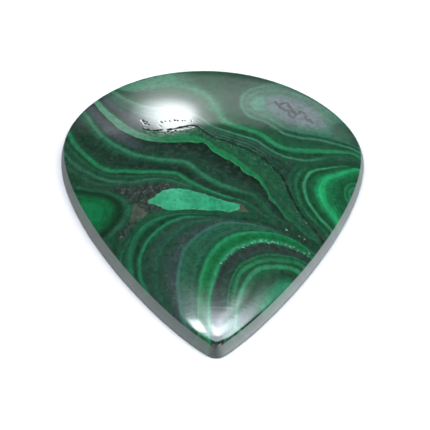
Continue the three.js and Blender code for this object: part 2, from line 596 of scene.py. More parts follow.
# %% Contour lines of the sweep below the seam
SEAM = [
    (84, 84), (99, 97), (104, 101), (110.7, 108.3), (117.2, 113.6), (124, 119), (131, 124),
    (139, 128), (147, 129.8), (154, 130.6), (163.9, 130), (174.7, 128.9), (185.6, 126.4),
    (194.3, 125.6), (201.8, 129.4), (207.6, 134.3), (216.7, 138.4), (223.9, 140.4),
    (232, 143.5), (240.2, 146.5), (250.4, 150.6), (260.6, 156.7), (269.8, 163.9), (277, 171),
    (283, 178), (288, 188), (293, 199), (299, 210), (307, 221), (317, 233), (326, 243),
    (336, 253)]
CRUST_FOOT = [
    (82, 88), (96, 99.5), (103, 105.5), (111.5, 113), (121, 121), (132, 128), (141, 132.5),
    (154, 134.5), (169, 134.5), (185.6, 132.5), (196, 133), (204, 138), (212, 142.5),
    (218, 147), (226, 150.5), (234, 155), (241, 160.5), (248, 166), (255, 171.5),
    (261, 178), (266, 187.3), (272, 197), (279, 206.5), (285.5, 214), (292.5, 221),
    (300, 228.5), (309, 236), (318, 243), (328, 252)]
BAND_FOOT = [
    (80, 92), (91, 101.5), (96.6, 106.5), (102, 113), (110.7, 121.8), (119.4, 129.4),
    (130.3, 134.8), (140, 139.2), (153, 141.9), (169.3, 143), (185.6, 143), (198.6, 143.5),
    (205.5, 145.2), (209, 148.8), (213.4, 151), (216.7, 154.4), (221.8, 156.8),
    (224.5, 159.6), (229.5, 161), (232.4, 165), (237.5, 168), (241, 171.8), (246, 174),
    (249.5, 177), (254.4, 177.6), (259.6, 181), (263.7, 188), (269.8, 198), (277, 208),
    (283, 215.2), (290, 222.4), (298, 230.2), (306.7, 237.2), (316.4, 244.6), (327, 253)]
FIRST_PALE_LINE = [
    (76, 104), (84.7, 114.2), (91.2, 121.8), (95.6, 128.3), (102, 135.9), (110.7, 142.4),
    (120.5, 147.9), (131.3, 153.3), (143.3, 156.5), (158.5, 159.2), (169.3, 160.3),
    (180.2, 161.4), (187.7, 162.8), (193.3, 167.2), (201.8, 173.6), (210.5, 179.3),
    (219, 184.3), (228, 187.3), (240.2, 190.6), (250.4, 194), (258, 199), (266, 208),
    (275, 218), (285, 227), (297, 236), (310, 245), (324, 255)]
SECOND_PALE_LINE = [
    (62, 122), (69.5, 134.8), (73.9, 144.6), (82.5, 153.3), (91.2, 160.9), (99.9, 167.4),
    (110.7, 171.2), (120.5, 171.4), (128, 170.8), (139, 172.3), (154, 171.9),
    (169.3, 172.3), (176, 173.2), (181, 175.6), (189.2, 181.2), (199.4, 187.1),
    (207.6, 190.6), (216.7, 194.5), (228, 198.3), (240, 201), (250, 206), (260, 214),
    (272, 223), (285, 231.5), (300, 241), (318, 253)]
THIRD_PALE_LINE = [
    (56, 144), (67.4, 157.6), (77, 166.3), (88, 172.8), (98.8, 178.2), (110.7, 181.5),
    (126, 183), (136.8, 182), (145.4, 180.4), (156.3, 179.3), (165, 179.3), (172.6, 181),
    (180, 184), (190, 187.3), (200, 190.5), (212, 194.8), (226, 199.5), (240, 203),
    (252, 210), (265, 219.5), (282, 231), (302, 244)]
LENS_ROOF = [
    (56, 162), (66, 172), (75, 180), (85, 185.5), (98, 188.5), (110.7, 188.5),
    (117, 187.5), (136.8, 186.3), (147.6, 184.4), (158.5, 183.1), (169.3, 184),
    (177, 187), (190, 190), (200, 193.2), (212, 197), (226, 201.5), (238, 204.5),
    (250, 211), (265, 221), (282, 232.5), (302, 246)]
LENS_FLOOR = [
    (56, 176), (78, 186), (100, 194), (118, 200), (135, 207), (160, 211), (185, 211),
    (205, 211.5), (225, 213), (240, 214.5), (254, 217.3), (272, 222), (290, 230.3),
    (303, 238), (318, 247.5)]
OVER_SEAM = [(x + 3, y - 9) for x, y in SEAM]
SWEEP = {
    -1: OVER_SEAM, 0: SEAM, 0.5: CRUST_FOOT, 1: BAND_FOOT, 2: FIRST_PALE_LINE,
    3: SECOND_PALE_LINE, 4: THIRD_PALE_LINE, 5: LENS_ROOF, 6: LENS_FLOOR}

# %% [markdown]
# Above the seam the bands run out of the upper left rim, under the highlight, and on to the
# right rim. The topmost two part round an eye and a nodule whose grey is partly painted haze.

# %% Contour lines of the upper bands
FAINT_LINE = [
    (100, 84), (106, 91), (111.8, 96.9), (120.5, 104.5), (130.3, 109.9), (140, 113.5),
    (155, 118), (172, 120), (188, 120.5), (200, 124), (210, 130.5), (223.8, 136.5),
    (238.7, 141), (252.5, 146), (263, 153), (273, 160), (281, 167), (286.5, 174),
    (289, 182), (292, 194), (298, 206), (307, 218), (319, 230.5), (332, 242)]
THREAD_LINE = [
    (104, 80), (110, 88), (115, 93.6), (126, 100), (136.8, 104.5), (150, 108), (168, 110),
    (185, 112), (197, 116), (206, 122), (214, 127), (221.5, 129.5), (233, 133.5),
    (244.4, 136.9), (255.9, 140.4), (265, 146.1), (274.3, 151.8), (285.8, 157),
    (297.3, 159.3), (308.7, 159.9), (320.2, 158), (332, 156), (342, 155.3), (352, 156.5),
    (364, 160)]
WAVE_LINE = [
    (112, 78), (119, 85.5), (130, 88.3), (147.6, 87), (165, 84.5), (180, 86), (192, 89),
    (201.8, 93.6), (210.5, 99), (216, 107.7), (220, 115), (224, 121), (229.5, 124),
    (239.9, 126.6), (249, 130), (259.4, 133.5), (267.4, 139.2), (276.6, 145), (288, 149),
    (301.8, 150.7), (319, 151.3), (334, 151.8), (345.5, 153.2), (354, 155), (364, 157.5)]
OUTER_RING = [
    (340, 110), (322, 100), (305, 92), (288, 87), (272, 86), (262, 87.2), (252, 89.5),
    (245, 94), (241.5, 102), (243.5, 110), (250, 116.5), (258, 119.5), (266, 121.5),
    (274.3, 126.6), (283.5, 133.5), (292.7, 135.8), (301.8, 138), (315.6, 139.2),
    (329.4, 142), (342, 145.5), (352, 148.5), (364, 152)]
INNER_RING = [
    (344, 122), (330, 110), (314, 101), (298, 94), (284, 90.5), (272, 90.5), (264, 91.5),
    (257, 92.3), (250.5, 95.8), (247, 101.5), (248.5, 108.2), (254, 112.8), (261.7, 115.5),
    (268, 118), (273, 121.2), (281.2, 127), (292.7, 131), (301.8, 133.4), (315, 135.4),
    (328, 138), (340, 141.5), (352, 145), (364, 148)]
EYE_CORE = [(258, 97), (253.8, 99.6), (252.4, 104), (254.2, 108.6), (258.6, 111), (262.4, 107),
            (262.2, 100.6)]
UPPER = {
    0: SEAM, 1: FAINT_LINE, 2: THREAD_LINE, 3: WAVE_LINE, 4: OUTER_RING, 5: INNER_RING,
    6: EYE_CORE}

# %% [markdown]
# On the right flank the bands turn round a second eye that the rim cuts off, like a fan.

# %% Contour lines of the right fan
FAN_LIMIT = [
    (366, 158), (345, 158.5), (325, 160), (305, 161), (290, 162), (281, 167), (279, 180),
    (283, 199), (293, 216), (306, 231), (322, 246)]
FAN_FIRST = [
    (366, 162), (345, 161.5), (325, 163.5), (306, 165.5), (295, 167.5), (290, 173),
    (288.8, 182), (291, 193), (297, 206), (306, 218), (318, 230.5), (331, 242)]
FAN_SECOND = [
    (366, 163.4), (345, 163.3), (325, 165.5), (310, 167.6), (300, 171.5), (296.4, 180.6),
    (296.7, 190), (299.6, 201.4), (305.7, 212.3), (313, 221), (322.4, 229), (334, 239)]
FAN_THREAD = [
    (366, 164.8), (346, 165.2), (328, 167.2), (316, 169.3), (308, 173.7), (304.3, 181.7),
    (304, 190), (307, 200.3), (313, 210), (321.2, 220), (331, 228.5), (341, 237)]
FAN_BRIGHT_OUT = [
    (366, 163), (357, 165.5), (351, 168.8), (345, 170.8), (334, 174), (324.8, 177),
    (318.5, 181.7), (315.6, 189.7), (318, 199), (323.8, 208.5), (331, 217.2),
    (338.2, 223.4), (347, 230)]
FAN_BRIGHT_IN = [
    (366, 167), (357.5, 168.8), (351.5, 171.3), (345, 174), (336, 177.3), (328.5, 181),
    (325, 187.3), (326, 195.8), (329.5, 205), (335.5, 213.5), (341.6, 219.6), (350, 226)]
FAN_DARK_RING = [
    (366, 176), (355, 181), (348, 184.6), (344.2, 190), (343.6, 197), (346.2, 204),
    (351, 210), (360, 215)]
FAN_EYE_RING = [
    (366, 184), (357, 186), (350.5, 189.5), (348, 194.3), (349, 200), (353, 205),
    (362, 208)]
FAN_EYE = [(364, 192), (357, 193.5), (354.5, 196.5), (358, 200), (364, 200)]
FAN = {
    -1: FAN_LIMIT, 0: FAN_FIRST, 1: FAN_SECOND, 2: FAN_THREAD, 3: FAN_BRIGHT_OUT,
    4: FAN_BRIGHT_IN, 5: FAN_DARK_RING, 6: FAN_EYE_RING, 7: FAN_EYE}

# %% [markdown]
# The rosette fills the lower right: arcs nested in arcs, from the left flank over to the
# right one. Its thick bright band is a crust with white crystals all along its inner edge.

# %% Contour lines of the rosette
ROSETTE_LIMIT = [
    (104, 268), (110, 254), (117, 240), (124, 229), (134, 219), (146, 211), (160, 206),
    (180, 205), (205, 206), (230, 208), (250, 210), (272, 216), (290, 225.5), (305, 234),
    (322, 245)]
ROSETTE_FIRST = [
    (112, 272), (117, 260), (121.3, 249), (126, 241), (132.5, 232.5), (140, 225),
    (149, 218.6), (160, 214), (172, 211.8), (187, 211), (205, 212), (225, 213.5),
    (240, 215), (254, 217.8), (272, 222.5), (290, 230.8), (303, 238.5), (318, 248)]
ROSETTE_SECOND = [
    (134, 286), (131.9, 275), (130.2, 266), (129, 256), (131.2, 245), (134.8, 234.6),
    (141.5, 227.2), (149, 221.3), (159.3, 217), (172, 214.2), (187, 213.3), (205, 213.8),
    (225, 215.2), (240, 217), (254, 219.6), (272, 224), (290, 232), (303, 239.6), (317, 248.8)]
ROSETTE_THREAD = [
    (149, 296), (144.5, 287.3), (140.3, 278.8), (138.8, 268), (139.7, 258.2),
    (143.3, 248.5), (148.2, 240), (155.5, 231.8), (165.2, 224.6), (174.8, 220),
    (187, 216.4), (205, 215.8), (225, 217), (240, 218.7), (254, 221.2), (272, 225.4),
    (290, 233), (303, 240.6), (316, 249.6)]
ROSETTE_FOURTH = [
    (168, 312), (161, 299), (156.5, 286), (155, 272.7), (156.7, 260.6), (161.5, 248.5),
    (167.6, 239), (177.3, 230.6), (187, 224.8), (199, 221), (213, 219), (228, 219.2),
    (242, 220.3), (256, 222.8), (273, 227), (290, 234.4), (303, 241.8), (315, 250.4)]
ROSETTE_TEAL = [
    (190, 332), (183.3, 316.4), (179.7, 303), (177.9, 291), (177.9, 279), (179, 268),
    (182, 256), (188.2, 245), (196.7, 236), (206.4, 229.4), (217.3, 224.6), (228, 222),
    (238, 221.6), (248, 222.6), (260, 225), (275, 228.8), (290, 235.8), (303, 243),
    (314.5, 251.3)]
CRUST_OUT = [
    (200, 332), (199, 318), (199, 304), (199.7, 292), (201.5, 278), (205.2, 265.5),
    (211.5, 253.5), (219.7, 243.8), (230.6, 236.6), (242.7, 233), (257, 231.8),
    (269, 232.7), (280, 234.6), (292, 238.6), (304, 244.6), (312.7, 250.3), (322, 257)]
CRUST_IN = [
    (210, 332), (209.4, 318), (209.4, 304), (211.2, 292), (214.8, 280), (218.5, 269.5),
    (223, 261.5), (230, 253.7), (239, 248), (249, 244), (260, 242.4), (270, 242.6),
    (280, 244.6), (290, 248), (300, 251.8), (308, 255.3), (318, 261)]
DARK_IN = [
    (227, 332), (227.4, 318), (227.6, 305), (228, 297), (229.4, 285), (234.2, 273),
    (241.5, 264.2), (251.2, 258.2), (262, 255.3), (272, 254.6), (284.8, 255.6),
    (297, 258.4), (306, 262), (316, 268)]
ROSETTE_NINTH = [
    (231, 332), (231.2, 318), (232.5, 305), (234, 293), (236, 282), (239.8, 273.4),
    (248.5, 266.4), (259.5, 261.3), (272.7, 259.6), (287.3, 260.8), (300.6, 264.6), (312, 270)]
ROSETTE_PALE = [
    (233, 332), (235.5, 314), (237.5, 304), (240, 295), (244.4, 285), (250, 276),
    (258.5, 268.9), (267, 266.8), (277.6, 266.6), (289.7, 267.9), (300.6, 271.6), (310, 276)]
ROSETTE_OLIVE = [
    (245, 322), (250, 305), (256, 294), (265, 284), (275, 277.5), (288, 275), (300, 278)]
ROSETTE_HEART = [(264, 312), (272, 298), (283, 288), (298, 283)]
ROSETTE = {
    -1: ROSETTE_LIMIT, 0: ROSETTE_FIRST, 1: ROSETTE_SECOND, 2: ROSETTE_THREAD,
    3: ROSETTE_FOURTH, 4: ROSETTE_TEAL, 5: CRUST_OUT, 6: CRUST_IN, 7: DARK_IN,
    8: ROSETTE_NINTH, 9: ROSETTE_PALE, 10: ROSETTE_OLIVE, 11: ROSETTE_HEART}

# %% [markdown]
# A plump green ball grew at the left flank, and the flank cuts it through.

# %% Contour lines of the left ball
BALL_LIMIT = [
    (62, 174), (76, 180), (90, 182.5), (104, 184.5), (118, 189), (130, 196.5), (136, 208),
    (134.5, 219), (129.5, 229), (121.5, 238), (112, 248)]
BALL_RING = [
    (64, 183), (76, 187), (88, 188.8), (98.8, 190), (110, 192.3), (119.4, 196.5),
    (126, 201.3), (129.6, 208), (128.4, 216), (123.4, 223.5), (116.5, 230.5), (110, 237),
    (103, 245)]
BALL_DARK = [
    (68, 189.5), (80, 192), (90, 193.4), (100, 194.8), (110, 198), (117.8, 203.6),
    (120.4, 211), (117.4, 219), (111, 226.5), (104, 233), (96, 241)]
BALL_GREEN = [
    (70, 197), (82, 197.8), (92, 198.2), (102, 200), (109, 204.6), (111.5, 211.5),
    (108, 219), (101.5, 225.5), (93, 232)]
BALL_HEART = [(80, 208), (90, 205), (98, 207), (101, 212), (97, 218), (90, 222)]
BALL = {-1: BALL_LIMIT, 0: BALL_RING, 1: BALL_DARK, 2: BALL_GREEN, 3: BALL_HEART}

# %% [markdown]
# Now the numbers between the lines. On a fine grid in plan every line holds its own number,
# and every other spot takes the mean of its four neighbours, over and over, as heat evens
# out between hot wires. Coarse grids go first, so that the fine one has little left to do.
# The slope of the result tells how many millimetres a layer takes there, and lets the
# material draw a thread of a real width whatever the layers do.

# %% Let the layer numbers spread
GRID_HALF = np.array([20, 23]) * MM
GRID_PITCHES = [0.8 * MM, 0.4 * MM, 0.2 * MM, 0.1 * MM]
SWEEPS = [3000, 500, 150, 60]
EVENING_ROUNDS = 3
WIDEST_LAYER = 6 * MM


def neighbour_mean(field):
    rim = np.pad(field, 1, mode="edge")
    return (rim[:-2, 1:-1] + rim[2:, 1:-1] + rim[1:-1, :-2] + rim[1:-1, 2:]) / 4


def read(field, places):
    """The field's values at places in plan, between the grid's own points."""
    size = np.array(field.shape) - 1
    where = np.clip((places + GRID_HALF) / (2 * GRID_HALF), 0, 1) * size
    low = np.minimum(where.astype(int), size - 1)
    part = where - low
    i, j = low[..., 0], low[..., 1]
    u, v = part[..., 0], part[..., 1]
    return ((field[i, j] * (1 - u) + field[i + 1, j] * u) * (1 - v)
            + (field[i, j + 1] * (1 - u) + field[i + 1, j + 1] * u) * v)


def grid_places(shape):
    axes = [np.linspace(-half, half, count) for half, count in zip(GRID_HALF, shape)]
    return np.stack(np.meshgrid(*axes, indexing="ij"), axis=-1)


def spread(family, closed=()):
    """A field of layer numbers from a family of contour lines."""
    lines = {layer: drawn(pixels, layer in closed) for layer, pixels in family.items()}
    field = np.full((3, 3), float(np.mean(list(family))))
    for pitch, sweeps in zip(GRID_PITCHES, SWEEPS):
        shape = tuple(int(round(2 * half / pitch)) + 1 for half in GRID_HALF)
        field = read(field, grid_places(shape))
        held = np.full(shape, np.nan)
        for layer, line in lines.items():
            length = np.concatenate([[0], np.cumsum(np.hypot(*np.diff(line, axis=0).T))])
            even = np.linspace(0, length[-1], int(length[-1] / pitch * 3) + 2)
            dense = np.column_stack([np.interp(even, length, line[:, axis]) for axis in (0, 1)])
            cell = np.round((dense + GRID_HALF) / (2 * GRID_HALF) * (np.array(shape) - 1))
            cell = cell[(cell >= 0).all(axis=1) & (cell < shape).all(axis=1)].astype(int)
            held[cell[:, 0], cell[:, 1]] = layer
        fixed = ~np.isnan(held)
        for _ in range(sweeps):
            field = np.where(fixed, held, neighbour_mean(field))
    for _ in range(EVENING_ROUNDS):
        field = neighbour_mean(field)
    slope = np.hypot(*np.gradient(field, GRID_PITCHES[-1]))
    for _ in range(EVENING_ROUNDS):
        slope = neighbour_mean(slope)
    return field, 1 / np.maximum(slope, 1 / WIDEST_LAYER)


families = {
    "sweep": spread(SWEEP),
    "upper": spread(UPPER, closed=[6]),
    "fan": spread(FAN),
    "rosette": spread(ROSETTE),
    "ball": spread(BALL),
}
for name, (field, _) in families.items():
    print(name, "layers", round(field.min(), 1), "to", round(field.max(), 1))

# %% [markdown]
# Some things are patches and not bands: the pale lens, the dark matrix round its blunt end,
# the brown chip at its point and the grey nodule, whose grey is partly painted haze. Each
# gets a signed distance: how far inside its outline a spot of the stone lies.

# %% Patches
LENS = [
    (146.8, 201.8), (150, 199.4), (153.5, 197.6), (156.6, 195), (158.6, 193.2),
    (162, 191.2), (167.8, 189.4), (173, 188.7), (179, 188.4), (187, 189.4), (196.3, 191.9),
    (207.6, 195), (217.8, 198.6), (228, 201.6), (238.2, 203.9), (239.8, 207.6), (237, 210.2),
    (232, 211.2), (228, 212.2), (219.8, 210.4), (209.6, 210.8), (201.4, 209.8),
    (191.2, 209.3), (181, 209.8), (170.8, 210.3), (163.7, 208.8), (157.6, 205),
    (150.4, 204.2)]
MATRIX = [
    (113, 190.5), (117, 187.8), (127, 187.2), (136.8, 186), (147.6, 184), (158.5, 183),
    (169.3, 184.2), (176, 187.2), (172, 192), (164, 203), (163, 209.5), (152, 212),
    (142, 217), (136, 223), (129, 231), (123.5, 238.5), (119, 240), (118.5, 235),
    (124, 228), (130.5, 219), (133.5, 211), (132, 203), (127, 197), (119, 193)]
BROWN_CHIP = [(239.5, 202.8), (243.6, 206.4), (247.6, 211.9), (242, 212.1), (236.8, 210.8),
              (239.8, 207.6)]
BROWN_SPOT = [(127, 212), (132, 207.5), (139, 207), (145, 210.5), (145.5, 215), (139, 219),
              (132, 219.5), (127.5, 216.5)]
CRUST = [
    (143, 127.5), (151, 130.5), (160, 131), (175, 130.8), (188, 128.8), (198, 127),
    (206, 130.5), (217, 136), (228, 140), (240, 144), (252, 149), (264, 158), (274, 166),
    (282, 177), (286, 189), (292, 202), (301, 215), (312, 229), (320, 240), (310, 238),
    (299, 229), (288, 214), (279, 199), (272, 185), (262, 173), (250, 163), (238, 156),
    (226, 149), (214, 142.5), (203, 136.5), (194, 134), (180, 136), (165, 137),
    (152, 136), (144, 131.5)]
CRACKED = [
    (146, 116), (170, 118), (200, 118), (225, 130), (250, 140), (275, 152), (296, 170),
    (306, 205), (330, 232), (325, 252), (300, 240), (280, 205), (255, 170), (215, 150),
    (170, 142), (146, 138)]
NODULE = [
    (262, 100), (266, 95.5), (273, 93.6), (282, 94), (292, 96), (303, 100), (314, 106.5),
    (323, 114), (328.5, 122), (329, 128.6), (322, 131.4), (311, 131), (299, 128.6),
    (287, 124.6), (276, 118.6), (267.5, 110.6), (262.8, 104.6)]


def distance_to(line, places):
    """The distance from each place to a line."""
    nearest = np.full(len(places), np.inf)
    for start, end in zip(line, line[1:]):
        side = end - start
        length = side @ side
        if length > 0:
            along = np.clip((places - start) @ side / length, 0, 1)
            gap = places - start - along[:, None] * side
            nearest = np.minimum(nearest, np.hypot(gap[:, 0], gap[:, 1]))
    return nearest


def depth_inside(line, places):
    """The distance from each place to a closed line, positive inside it."""
    crossings = np.zeros(len(places), int)
    for start, end in zip(line, line[1:]):
        if start[1] != end[1]:
            spans = (start[1] > places[:, 1]) != (end[1] > places[:, 1])
            share = (places[:, 1] - start[1]) / (end[1] - start[1])
            crossings += spans & (places[:, 0] < start[0] + share * (end[0] - start[0]))
    return np.where(crossings % 2 == 1, 1, -1) * distance_to(line, places)


def region(line, *corners):
    """The closed area between a contour line and corners far off the stone."""
    return drawn(line + list(corners) + line[:1])


patches = {
    "upper_side": region(SEAM, (430, 330), (430, 0), (0, 0), (40, 60)),
    "fan_side": region(FAN_FIRST, (345, 262), (430, 280), (430, 140)),
    "rosette_side": region(ROSETTE_FIRST, (430, 300), (215, 430), (60, 340)),
    "ball_side": region(BALL_RING, (80, 290), (0, 240), (20, 170)),
    "lens": drawn(LENS, closed=True),
    "matrix": drawn(MATRIX, closed=True),
    "brown_chip": drawn(BROWN_CHIP, closed=True),
    "brown_spot": drawn(BROWN_SPOT, closed=True),
    "crust": drawn(CRUST, closed=True),
    "crack": drawn(CRACKED, closed=True),
    "nodule": drawn(NODULE, closed=True),
}

FAN_EYE_MIDDLE = (359.5, 193)
VEINS = [
    [(275.5, 102.2), (278.6, 106), (281.6, 108.3), (286.2, 110.6), (290, 110.6), (294, 113)],
    [(280.1, 104.5), (283.9, 103), (287.4, 103.3), (289.3, 106.4), (291.9, 109.5),
     (294.2, 112)],
    [(294, 113), (298.5, 113.7), (300.4, 111.4), (304.2, 113.5)],
    [(288.9, 112.9), (290, 116), (293.1, 117.1), (295.8, 115.2), (295, 112.9)],
    [(306.1, 116.3), (306.5, 119), (308.4, 120.2), (309.9, 119), (310.7, 120.9),
     (312.6, 122.8)]]
vein_lines = [drawn(line) for line in VEINS]

# %% [markdown]
# The seam and the rosette's crust hold small open pits, and in the pits stand crystals that
# were too deep for the polish to reach. Both are real shape here: the mesh is made finer
# round each spot, the pit is pressed in, and a few tiny tilted blocks are set into it.

# %% Places of the pits and crystals
PITS = [
    (143.6, 121.3, 0.16), (146, 121.9, 0.12), (144.6, 123.6, 0.12), (148.6, 125, 0.1),
    (161.2, 122, 0.14), (160.4, 126, 0.08), (165.5, 121.5, 0.08), (169.6, 121, 0.1),
    (175, 120.4, 0.13), (177.7, 120.6, 0.12), (182.3, 120.5, 0.1), (185.3, 120.7, 0.08),
    (191.8, 121.3, 0.07), (66, 158, 0.2), (67, 161, 0.14), (323.7, 110, 0.18),
    (258, 150.8, 0.1), (262, 153.4, 0.1), (248, 146.5, 0.1), (253.5, 152.2, 0.12),
    (270, 200, 0.12), (303, 231, 0.14), (317, 246, 0.14)]
CRYSTALS = [
    (231.8, 146.3, 0.2), (240.5, 148.7, 0.16), (234.5, 147.6, 0.1), (256.9, 163.5, 0.16),
    (261.7, 164.3, 0.16), (266.5, 165.1, 0.12), (272.4, 168.3, 0.12), (279.6, 185, 0.2),
    (281.2, 189.8, 0.17), (266, 203.4, 0.16), (297.2, 215.3, 0.15), (303.5, 224.1, 0.22),
    (286, 230.9, 0.2), (290.8, 233.7, 0.12), (298.4, 236.9, 0.15), (303.5, 239.6, 0.18),
    (220.6, 264.8, 0.16), (226, 259.6, 0.1), (231.5, 255, 0.12), (243, 248.4, 0.17),
    (247.5, 246.4, 0.12), (252.1, 244.4, 0.16), (258.5, 243.4, 0.1), (268, 244, 0.14),
    (272.8, 242.8, 0.15), (277.6, 244.8, 0.15), (284, 245.6, 0.12), (288.8, 247.2, 0.17),
    (295.2, 249.6, 0.17), (301, 251.6, 0.12), (307.9, 254.4, 0.2), (311.8, 256.2, 0.18),
    (130, 226.6, 0.15), (126.2, 232.3, 0.16), (123, 236.3, 0.2), (138, 217.4, 0.12),
    (143.4, 217.4, 0.12), (116.4, 188.6, 0.12), (133, 197.8, 0.1), (345.6, 156.6, 0.12),
    (348.4, 158.8, 0.12), (350.4, 161.2, 0.1), (66.4, 162.6, 0.14), (325.5, 110.8, 0.15),
    (153.5, 133.2, 0.1), (157.6, 131.6, 0.1), (164.4, 133, 0.11), (168.4, 131.6, 0.1),
    (172.2, 132.6, 0.11), (176, 131, 0.1), (181, 131.8, 0.1), (187.4, 132.4, 0.1),
    (199.6, 130.8, 0.12), (203.8, 132.6, 0.13), (207.4, 136.2, 0.13), (213, 139, 0.12)]
PIT_SIZE = 0.8
CRYSTAL_PIT_SIZE = 1.2
PIT_DEPTH = 1
CRYSTAL_PIT_DEPTH = 0.6

pit_spots = [(*on_stone((x, y)), radius * PIT_SIZE * MM, PIT_DEPTH) for x, y, radius in PITS]
pit_spots += [(*on_stone((x, y)), radius * MM * CRYSTAL_PIT_SIZE, CRYSTAL_PIT_DEPTH)
              for x, y, radius in CRYSTALS]
print("pits", len(PITS), "and crystals", len(CRYSTALS))

# %% [markdown]
# Only the mesh round a pit, a crystal or one of the nodule's veins is cut finer, twice, so
# the rest keeps its even rings.

# %% Press the pits in
REFINE_MARGIN = 0.12 * MM
REFINE_ROUNDS = 2
PIT_STEEPNESS = 1.8
PRESS_SHARE = 0.3


def near_spots(form):
    """Vertices on the dome within reach of a pit or of the nodule's veins."""
    corners = [v for v in form.verts if v.co.z > WALL_HEIGHT]
    places = np.array([v.co[:2] for v in corners])
    close = np.zeros(len(corners), bool)
    for x, y, radius, _ in pit_spots:
        gap = np.hypot(places[:, 0] - x, places[:, 1] - y)
        close |= gap < radius + REFINE_MARGIN
    for line in vein_lines:
        close |= distance_to(line, places) < 2 * REFINE_MARGIN
    return {corner for corner, near in zip(corners, close) if near}


for _ in range(REFINE_ROUNDS):
    chosen = near_spots(stone_form)
    bmesh.ops.subdivide_edges(
        stone_form, edges=[e for e in stone_form.edges if chosen.issuperset(e.verts)],
        cuts=1, use_grid_fill=True)
pit_layer = stone_form.verts.layers.float.new("pit")
crystal_layer = stone_form.verts.layers.float.new("crystal")
for corner in near_spots(stone_form):
    for x, y, radius, depth in pit_spots:
        share = 1 - math.hypot(corner.co.x - x, corner.co.y - y) / radius
        if share > 0:
            press = min(share * PIT_STEEPNESS, 1)
            corner[pit_layer] = max(corner[pit_layer], press)
            corner.co.z -= press * depth * radius * PRESS_SHARE
for face in stone_form.faces:
    face.smooth = True
print("with pits", len(stone_form.verts), "vertices")

# %% [markdown]
# A crystal is a cluster of four small blocks. Each has its own place, size and tilt, drawn
# by chance from a fixed seed, so the same ones come every run.

# %% Set the crystals
CRYSTAL_SIZE = 0.75
BLOCKS_PER_CRYSTAL = 4
BLOCK_SIZE = (0.5, 0.9)
BLOCK_REACH = (0.1, 0.8)
BLOCK_WIDTH = (0.5, 0.8)
BLOCK_HEIGHT = 0.5
BLOCK_SUNK = 0.12
UPRIGHTNESS = 0.4

chance = random.Random(7)
half_turn = Vector((0, 0, 1)).to_track_quat("Z", "Y")


def set_crystal(form, x, y, size):
    """A cluster of small tilted blocks, half sunk at a place in plan."""
    for _ in range(BLOCKS_PER_CRYSTAL):
        turn, reach = chance.uniform(0, 2 * math.pi), size * chance.uniform(*BLOCK_REACH)
        place = Vector((x + math.cos(turn) * reach, y + math.sin(turn) * reach, 0))
        place.z = stone_height(place.x, place.y) - size * BLOCK_SUNK
        block = bmesh.ops.create_cube(form, size=size * chance.uniform(*BLOCK_SIZE))["verts"]
        leaning = Vector((chance.uniform(-1, 1), chance.uniform(-1, 1), UPRIGHTNESS))
        tilt = leaning.to_track_quat("Z", "Y") @ half_turn
        block_form = (1, chance.uniform(*BLOCK_WIDTH), BLOCK_HEIGHT)
        bmesh.ops.scale(form, verts=block, vec=block_form)
        bmesh.ops.rotate(form, verts=block, cent=(0, 0, 0), matrix=tilt.to_matrix())
        bmesh.ops.translate(form, verts=block, vec=place)
        for corner in block:
            corner[crystal_layer] = 1


surface = BVHTree.FromBMesh(stone_form)
for x, y, radius in CRYSTALS:
    set_crystal(stone_form, *on_stone((x, y)), radius * CRYSTAL_SIZE * MM)
print("with crystals", len(stone_form.verts), "vertices")

# %% [markdown]
# Every vertex now reads its numbers. The bands are surfaces that dip through the stone, so
# a spot on the wall or the back looks the pattern up a little to one side of where it is.

# %% Write the layers onto the mesh
DIP = np.array([0.45, -0.7])
BACK_SWAY = 0.9 * MM
BACK_WAVE = 9 * MM

stone_mesh = bpy.data.meshes.new("polished_stone")
stone_form.to_mesh(stone_mesh)
stone_form.free()
spots = np.empty(len(stone_mesh.vertices) * 3)
stone_mesh.vertices.foreach_get("co", spots)
spots = spots.reshape(-1, 3)
plan = spots[:, :2]
below = np.maximum(wall_height(plan) - spots[:, 2], 0)
sway = np.sin(plan[:, ::-1] / BACK_WAVE) * BACK_SWAY * (below / WALL_HEIGHT)[:, None]
pattern_place = plan + below[:, None] * DIP + sway


def write(name, values):
    stone_mesh.attributes.new(name, "FLOAT", "POINT").data.foreach_set(
        "value", values.astype(np.float32))


for name, (field, spacing) in families.items():
    write(name, read(field, pattern_place))
    write(name + "_spacing", read(spacing, pattern_place) / MM)
for name, line in patches.items():
    write(name, depth_inside(line, pattern_place) / MM)
write("over_edge", (spots[:, 2] - wall_height(plan) + tip_chip(plan)) / MM)
write("fan_eye", np.hypot(*(pattern_place - on_stone(FAN_EYE_MIDDLE)).T) / MM)
vein_gaps = [distance_to(line, pattern_place) for line in vein_lines]
write("veins", np.min(vein_gaps, axis=0) / MM)
print("attributes", len(stone_mesh.attributes))

# %% [markdown]
# Colours are written as they show in the photograph, in 0 to 255. The room adds a thin grey
# veil to all of them, and the lamps are brighter than white paper needs, so both are taken
# off to get the stone's own colour.

# %% From a colour as it shows to the stone's own
VEIL = 0.008
DARKEST = 0.0004
LAMP_GAIN = 1.97


def shown(red, green, blue):
    """The stone's own colour behind a colour in the photograph."""
    own = []
    for value in (red, green, blue):
        part = value / 255
        linear = part / 12.92 if part <= 0.04045 else ((part + 0.055) / 1.055) ** 2.4
        own.append(max(linear - VEIL, DARKEST) / LAMP_GAIN)
    return (*own, 1)


# %% [markdown]
# A band is a layer number with the colour that shows there, and the colours between two of
# them blend. A thread is a fine pale line on top of the bands: its layer number, its half
# width in millimetres, its strength and its colour.

